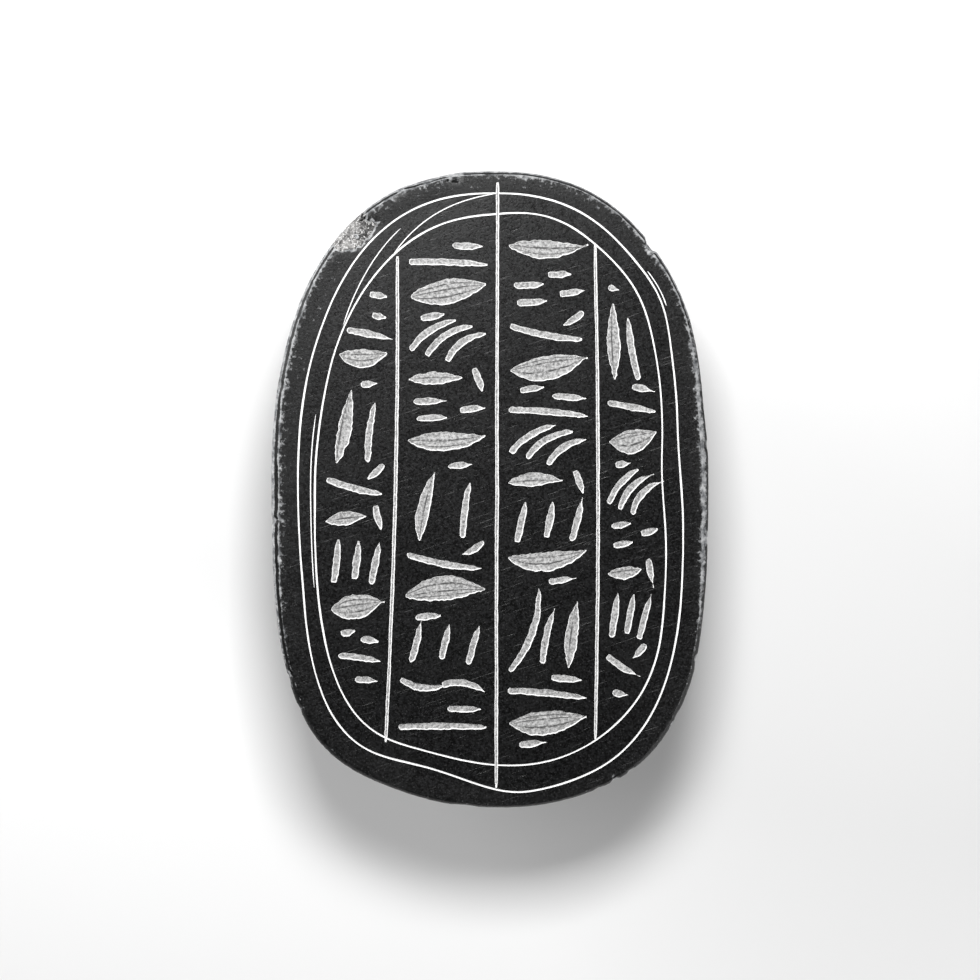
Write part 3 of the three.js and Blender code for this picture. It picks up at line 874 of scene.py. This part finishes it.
def scatter(step, inside, clear):
    """Jittered grid points where inside() holds, at least clear away from every outline."""
    rows = np.arange(-half_length, half_length, step * 0.87)
    found = []
    for r, yy in enumerate(rows):
        xx = np.arange(-half_width, half_width, step) + (r % 2) * step / 2
        jitter_x = 0.22 * step * lattice(np.arange(len(xx)), r, 1, 5)
        jitter_y = 0.22 * step * lattice(np.arange(len(xx)), r, 2, 6)
        px = xx + jitter_x
        py = yy + jitter_y
        good = inside(px, py)
        found += [(a, b) for a, b in zip(px[good], py[good])]
    return [p for p in found if groove_sides.find((p[0], p[1], 0))[2] > clear]


def on_face(px, py):
    turn = np.arctan2(py, px)
    return np.hypot(px, py) < outline(turn) - 1.15 * bevel_width(turn) - 0.3 - nick(turn)


def in_chip(px, py):
    return on_face(px, py) & (chip_drop(px, py) > 0)


points += scatter(face_step, lambda px, py: on_face(px, py) & (chip_drop(px, py) == 0), 0.3 * face_step)
points += scatter(chip_step, in_chip, 0.14)

coords = [Vector(p) for p in points]
found = delaunay_2d_cdt(coords, edges, faces, 1, 1e-5, True)
found_points, _, found_faces, from_points, _, from_faces = found
flat = np.array([(p[0], p[1]) for p in found_points])
fx, fy = flat[:, 0], flat[:, 1]
depth = np.zeros(len(flat))
along_cut = np.zeros(len(flat))
across_cut = np.ones(len(flat))
cut_seed = np.zeros(len(flat))
cut_lanes = np.ones(len(flat))
cut_rim = np.zeros(len(flat))
face_angle = np.arctan2(fy, fx)
face_radius = np.hypot(fx, fy)
for number, item in enumerate(grooves):
    reach_out = max(item["left"].max(), item["right"].max()) + 0.05
    if item["closed"]:
        target = outer_line(face_angle) if number == 0 else inner_line(face_angle)
        near = np.abs(face_radius - target) < 0.6
    else:
        low_corner = item["centre"].min(0) - reach_out
        high_corner = item["centre"].max(0) + reach_out
        near = (fx > low_corner[0]) & (fx < high_corner[0])
        near = near & (fy > low_corner[1]) & (fy < high_corner[1])
    at = np.nonzero(near)[0]
    cut_depth, u, v, rim_in = groove_section(item, fx[at], fy[at])
    deeper = (np.abs(v) <= 1.02) & (cut_depth >= depth[at])
    chosen = at[deeper]
    depth[chosen] = cut_depth[deeper]
    along_cut[chosen] = u[deeper]
    across_cut[chosen] = v[deeper]
    cut_seed[chosen] = item["seed"]
    cut_lanes[chosen] = item["scratches"]
    cut_rim[chosen] = rim_in[deeper]
chipped = chip_drop(fx, fy)
face_height = thickness - np.maximum(face_ground(fx, fy) + depth, chipped)
# Pale wear along the face's rim, stronger towards the upper left as painted light on the side facing the
# lamps; chips add their own real wear.
upper_left = ease(np.cos(face_angle - math.radians(125)), -0.3, 0.9)
rim_wear_and_highlight = ease(face_radius - outer_line(face_angle), -1.5, 1.2) * mix(0.18, 0.33, upper_left)
face_wear_and_highlight = np.maximum(chip_wear(fx, fy), rim_wear_and_highlight)

# One mesh: the grid, its centre, and the face, sharing the ring where they meet
vertex_of = np.full(len(flat), -1)
next_vertex = grid_size + 1
for k, origin in enumerate(from_points):
    ring = [i for i in origin if i < columns_around]
    if ring:
        vertex_of[k] = ring[0]
    else:
        vertex_of[k] = next_vertex
        next_vertex += 1
total = next_vertex
own = vertex_of >= grid_size
own_vertices = vertex_of[own]
vertices = np.zeros((total, 3))
vertices[:grid_size] = grid.reshape(-1, 3)
vertices[own_vertices] = np.stack([fx, fy, face_height], 1)[own]
wear_and_painted_light_values = np.zeros(total)
wear_and_painted_light_values[:grid_size] = wear_and_painted_light.reshape(-1)
wear_and_painted_light_values[own_vertices] = face_wear_and_highlight[own]
cut_values = np.zeros((total, 3))
cut_values[:, 1] = 1
cut_values[own_vertices] = np.stack([along_cut, across_cut, cut_seed], 1)[own]
lane_values = np.ones(total)
lane_values[own_vertices] = cut_lanes[own]
rim_values = np.zeros(total)
rim_values[own_vertices] = cut_rim[own]

STONE, CUT = 0, 1
mesh_faces = []
slots = []
for r in range(row_count - 1):
    for k in range(columns_around):
        n = (k + 1) % columns_around
        top, bottom = r * columns_around, (r + 1) * columns_around
        mesh_faces.append((top + k, bottom + k, bottom + n, top + n))
        slots.append(STONE)
last = grid_size - columns_around
centre_vertex = grid_size
for k in range(columns_around):
    mesh_faces.append((last + k, centre_vertex, last + (k + 1) % columns_around))
    slots.append(STONE)
is_chipped = chipped > 0
for face, origin in zip(found_faces, from_faces):
    state = {}
    for i in origin:
        if face_groove[i]:
            number, sign = face_groove[i]
            state[number] = state.get(number, 0) + sign
    is_cut = any(value > 0 for value in state.values()) and not all(is_chipped[i] for i in face)
    a, b, c = (flat[i] for i in face)
    area = (b[0] - a[0]) * (c[1] - a[1]) - (b[1] - a[1]) * (c[0] - a[0])
    face = face if area > 0 else face[::-1]
    mesh_faces.append(tuple(int(vertex_of[i]) for i in face))
    slots.append(CUT if is_cut else STONE)

mesh = bpy.data.meshes.new("scarab_stone")
mesh.from_pydata([tuple(p) for p in vertices * MM], [], mesh_faces)
mesh.attributes.new("cut", "FLOAT_VECTOR", "POINT").data.foreach_set("vector", cut_values.reshape(-1))
for name, values in (("wear_and_painted_light", wear_and_painted_light_values), ("lanes", lane_values), ("rim", rim_values)):
    mesh.attributes.new(name, "FLOAT", "POINT").data.foreach_set("value", values)
mesh.polygons.foreach_set("material_index", slots)
mesh.shade_smooth()
mesh.set_sharp_from_angle(angle=math.radians(34))

# The outline of every cut is a sharp edge too
loop_edge = np.zeros(len(mesh.loops), int)
mesh.loops.foreach_get("edge_index", loop_edge)
loop_slot = np.repeat(slots, [len(face) for face in mesh_faces])
beside_stone = np.zeros(len(mesh.edges), bool)
beside_cut = np.zeros(len(mesh.edges), bool)
beside_stone[loop_edge[loop_slot == STONE]] = True
beside_cut[loop_edge[loop_slot == CUT]] = True
sharp = np.zeros(len(mesh.edges), bool)
mesh.attributes["sharp_edge"].data.foreach_get("value", sharp)
mesh.attributes["sharp_edge"].data.foreach_set("value", sharp | (beside_stone & beside_cut))
mesh.update()
scarab = bpy.data.objects.new("scarab_stone", mesh)
bpy.context.scene.collection.objects.link(scarab)
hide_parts("scarab")
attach(scarab, "root")


# Materials

def add_node(tree, kind, inputs=None, **settings):
    made = tree.nodes.new(kind)
    for name, value in settings.items():
        setattr(made, name, value)
    for name, value in (inputs or {}).items():
        if isinstance(value, bpy.types.NodeSocket):
            tree.links.new(value, made.inputs[name])
        else:
            made.inputs[name].default_value = value
    return made


def calc(tree, operation, *values):
    made = add_node(tree, "ShaderNodeMath", dict(enumerate(values)), operation=operation)
    return made.outputs[0]


def remap(tree, value, from_low, from_high, to_low, to_high, kind="LINEAR"):
    inputs = {
        "Value": value, "From Min": from_low, "From Max": from_high, "To Min": to_low, "To Max": to_high,
    }
    return add_node(tree, "ShaderNodeMapRange", inputs, interpolation_type=kind).outputs[0]


def blend(tree, share, first, second):
    made = add_node(tree, "ShaderNodeMix", {0: share, 6: first, 7: second}, data_type="RGBA")
    return made.outputs[2]


def grain(tree, place, scale, detail=3.0, rough=0.6):
    inputs = {"Vector": place, "Scale": scale, "Detail": detail, "Roughness": rough}
    return add_node(tree, "ShaderNodeTexNoise", inputs).outputs[0]


def stretched(tree, place, turn, scale):
    """Coordinates turned in the face's plane and stretched along one direction, for scratches."""
    turned = add_node(tree, "ShaderNodeVectorRotate", {"Vector": place, "Angle": math.radians(turn)})
    made = add_node(tree, "ShaderNodeVectorMath", {0: turned.outputs[0], 1: scale}, operation="MULTIPLY")
    return made.outputs[0]


def grey(level, warmth=0.0):
    return (level * (1 + warmth), level, level * (1 - warmth), 1)


def start_material(name):
    made = bpy.data.materials.new(name)
    made.use_nodes = True
    tree = made.node_tree
    tree.nodes.clear()
    shader = add_node(tree, "ShaderNodeBsdfPrincipled")
    output = add_node(tree, "ShaderNodeOutputMaterial")
    tree.links.new(shader.outputs[0], output.inputs[0])
    coordinates = add_node(tree, "ShaderNodeTexCoord").outputs["Object"]
    scaled = add_node(tree, "ShaderNodeVectorMath", {0: coordinates, "Scale": 1000.0}, operation="SCALE")
    return made, tree, shader, scaled.outputs[0]


def finish_surface(tree, shader, colour, roughness, relief, distance, strength):
    bump = add_node(tree, "ShaderNodeBump", {"Height": relief, "Distance": distance, "Strength": strength})
    tree.links.new(colour, shader.inputs["Base Color"])
    tree.links.new(roughness, shader.inputs["Roughness"])
    tree.links.new(bump.outputs[0], shader.inputs["Normal"])


# Near-black stone, honed matt, paler and rougher where the edge is worn or chipped; the same pale colour
# also paints the highlight on the upper left of the wall, bevel and rim, while the dark bare-stone line
# under the arris and the dimmer bottom end of the bevel are painted shade
stone, tree, shader, place_mm = start_material("black_stone")
shader.inputs["Specular IOR Level"].default_value = 0.28
cloud = grain(tree, place_mm, 0.13, 3.0, 0.6)
speck = grain(tree, place_mm, 2.8, 3.0, 0.65)
fine = grain(tree, place_mm, 4.2, 1.0, 0.5)
base = blend(tree, remap(tree, speck, 0.44, 0.62, 0, 1), grey(0.0002), (0.0052, 0.0055, 0.006, 1))
base = blend(tree, remap(tree, cloud, 0.45, 0.7, 0, 0.3), base, grey(0.01))
base = blend(tree, remap(tree, fine, 0.64, 0.73, 0, 0.8), base, grey(0.045))
honing_a = grain(tree, stretched(tree, place_mm, 52, (0.3, 8.0, 8.0)), 1.0, 2.0, 0.5)
honing_b = grain(tree, stretched(tree, place_mm, -18, (0.2, 6.0, 6.0)), 1.0, 2.0, 0.5)
honing_a = remap(tree, honing_a, 0.64, 0.74, 0, 1)
honing_b = remap(tree, honing_b, 0.66, 0.75, 0, 1)
honing = calc(tree, "MAXIMUM", honing_a, honing_b)
base = blend(tree, calc(tree, "MULTIPLY", honing, 0.35), base, grey(0.035))
wear_and_light_share = add_node(tree, "ShaderNodeAttribute", attribute_name="wear_and_painted_light").outputs["Fac"]
scuff = grain(tree, place_mm, 1.5, 4.0, 0.68)
patches = grain(tree, place_mm, 0.5, 3.0, 0.7)
amount = calc(tree, "ADD", calc(tree, "MULTIPLY", scuff, 1.4), calc(tree, "MULTIPLY", patches, 0.6))
threshold = remap(tree, wear_and_light_share, 0, 0.8, 1.62, 0.66)
bevel_share = remap(tree, calc(tree, "SUBTRACT", amount, threshold), -0.05, 0.2, 0, 1)
tone = grain(tree, place_mm, 0.9, 4.0, 0.66)
tone = remap(tree, tone, 0.36, 0.64, 0, 1)
worn_colour = blend(tree, tone, (0.09, 0.094, 0.1, 1), (0.4, 0.405, 0.41, 1))
# Pale worn colour: real wear, plus the painted highlight and shade that the wear attribute carries
base = blend(tree, bevel_share, base, worn_colour)
chip_share = remap(tree, wear_and_light_share, 0.84, 0.96, 0, 1)
broken = grain(tree, place_mm, 1.1, 5.0, 0.74)
rubble = blend(tree, remap(tree, broken, 0.44, 0.66, 0, 1), grey(0.008, 0.01), grey(0.13, 0.02))
pale_rubble = blend(tree, remap(tree, broken, 0.38, 0.6, 0, 1), grey(0.08, 0.01), grey(0.3, 0.02))
rubble = blend(tree, remap(tree, wear_and_light_share, 1.02, 1.24, 0, 1), rubble, pale_rubble)
crack = grain(tree, place_mm, 1.3, 2.0, 0.6)
ridge = remap(tree, calc(tree, "ABSOLUTE", calc(tree, "SUBTRACT", crack, 0.5)), 0.004, 0.02, 0.95, 0)
rubble = blend(tree, ridge, rubble, grey(0.75, 0.01))
base = blend(tree, chip_share, base, rubble)
roughness = remap(tree, speck, 0.36, 0.64, 0.27, 0.44)
roughness = calc(tree, "ADD", roughness, calc(tree, "MULTIPLY", wear_and_light_share, 0.22))
relief = calc(tree, "ADD", calc(tree, "MULTIPLY", speck, 1.0), calc(tree, "MULTIPLY", honing, -0.5))
relief = calc(tree, "ADD", relief, calc(tree, "MULTIPLY", calc(tree, "MULTIPLY", scuff, wear_and_light_share), 2.0))
finish_surface(tree, shader, base, roughness, relief, 0.00003, 1.0)

# Freshly scratched stone inside the cuts: pale, mottled and streaked along each stroke
scratched, tree, shader, place_mm = start_material("cut_stone")
shader.inputs["Specular IOR Level"].default_value = 0.3
cut = add_node(tree, "ShaderNodeAttribute", attribute_name="cut").outputs["Vector"]
lanes = add_node(tree, "ShaderNodeAttribute", attribute_name="lanes").outputs["Fac"]
parts = add_node(tree, "ShaderNodeSeparateXYZ", {0: cut})
along, across, seed = parts.outputs
streak_along = calc(tree, "MULTIPLY", along, 0.55)
streak_across = calc(tree, "MULTIPLY", across, 2.4)
streak_place = add_node(tree, "ShaderNodeCombineXYZ", {0: streak_along, 1: streak_across, 2: seed})
streak = grain(tree, streak_place.outputs[0], 1.6, 5.0, 0.7)
mottle = grain(tree, place_mm, 2.1, 3.0, 0.65)
powder = grain(tree, place_mm, 3.6, 2.0, 0.6)
rim = add_node(tree, "ShaderNodeAttribute", attribute_name="rim").outputs["Fac"]
lane = calc(tree, "MULTIPLY", calc(tree, "ADD", across, 1.0), 0.5)
lane = calc(tree, "FRACT", calc(tree, "MULTIPLY", lane, lanes))
lane = calc(tree, "MULTIPLY", calc(tree, "ABSOLUTE", calc(tree, "SUBTRACT", lane, 0.5)), 2.0)
edge_share = calc(tree, "ABSOLUTE", across)
many = calc(tree, "GREATER_THAN", lanes, 1.5)
line_share = calc(tree, "MULTIPLY", remap(tree, lane, 0.66, 0.86, 0, 1), many)
line_share = calc(tree, "MULTIPLY", line_share, remap(tree, edge_share, 0.8, 0.95, 1, 0))
line_share = calc(tree, "MULTIPLY", line_share, remap(tree, streak, 0.36, 0.54, 0, 1))
pale = blend(tree, remap(tree, mottle, 0.4, 0.6, 0, 1), grey(0.16, 0.004), grey(0.46, 0.004))
pale = blend(tree, remap(tree, streak, 0.48, 0.68, 0, 0.65), pale, grey(0.56, 0.004))
pale = blend(tree, remap(tree, powder, 0.53, 0.66, 0, 0.6), pale, grey(0.1, 0.006))
ragged_rim = calc(tree, "ADD", rim, remap(tree, powder, 0.3, 0.7, -0.04, 0.04))
pale = blend(tree, remap(tree, ragged_rim, 0.07, 0.17, 1, 0), pale, grey(0.86, 0.003))
pale = blend(tree, calc(tree, "MULTIPLY", line_share, 0.9), pale, grey(0.02))
roughness = remap(tree, mottle, 0.3, 0.7, 0.75, 0.9)
relief = calc(tree, "ADD", calc(tree, "MULTIPLY", streak, 0.8), calc(tree, "MULTIPLY", powder, 0.5))
finish_surface(tree, shader, pale, roughness, relief, 0.00006, 0.7)

mesh.materials.append(stone)
mesh.materials.append(scratched)

# Pale plain floor
floor_mesh = bpy.data.meshes.new("floor")
corners = [(-3, -3, 0), (3, -3, 0), (3, 3, 0), (-3, 3, 0)]
floor_mesh.from_pydata(corners, [], [(0, 1, 2, 3)])
floor = bpy.data.objects.new("floor", floor_mesh)
bpy.context.scene.collection.objects.link(floor)
paper = bpy.data.materials.new("paper")
paper.use_nodes = True
paper_shader = paper.node_tree.nodes["Principled BSDF"]
paper_shader.inputs["Base Color"].default_value = (0.8, 0.8, 0.8, 1)
paper_shader.inputs["Roughness"].default_value = 0.9
floor_mesh.materials.append(paper)


# Soft studio light, strongest from beyond the head end

def aim(source, target):
    return (Vector(source) - Vector(target)).to_track_quat("Z", "Y").to_matrix().to_4x4()


def soft_light(name, source, target, size, power):
    data = bpy.data.lights.new(name, "AREA")
    data.shape = "RECTANGLE"
    data.size, data.size_y = size
    data.energy = power
    lamp = bpy.data.objects.new(name, data)
    lamp.matrix_world = Matrix.Translation(source) @ aim(source, target)
    lamp.visible_camera = False
    bpy.context.scene.collection.objects.link(lamp)


face_centre = (0, 0, thickness * MM)
camera_distance = 0.45
soft_light("head_light", (-0.03, 0.13, 0.3), face_centre, (0.09, 0.07), 1.12)
soft_light("left_light", (-0.5, 0.25, 0.2), face_centre, (0.4, 0.25), 2.7)
soft_light("right_light", (0.45, -0.25, 0.25), face_centre, (0.4, 0.25), 1.7)
world = bpy.data.worlds.new("studio")
world.use_nodes = True
world.node_tree.nodes["Background"].inputs["Color"].default_value = (1, 1, 1, 1)
world.node_tree.nodes["Background"].inputs["Strength"].default_value = 0.09
bpy.context.scene.world = world
bpy.context.scene.view_settings.view_transform = "Standard"

# Camera above the face, leaning a little towards the upper left
camera_data = bpy.data.cameras.new("camera")
camera_data.lens = 106.2
camera_data.sensor_width = 36
camera_data.clip_start = 0.01
camera = bpy.data.objects.new("camera", camera_data)
towards = Vector((-0.1106, 0.1106, 0.9877)).normalized()
camera_right = Vector((0, 1, 0)).cross(towards).normalized()
camera_up = towards.cross(camera_right)
turned = Matrix((camera_right, camera_up, towards)).transposed().to_4x4()
middle = Vector(face_centre) + Vector((-0.0004, 0.0007, 0))
camera.matrix_world = Matrix.Translation(middle + towards * camera_distance) @ turned
bpy.context.scene.collection.objects.link(camera)
bpy.context.scene.camera = camera
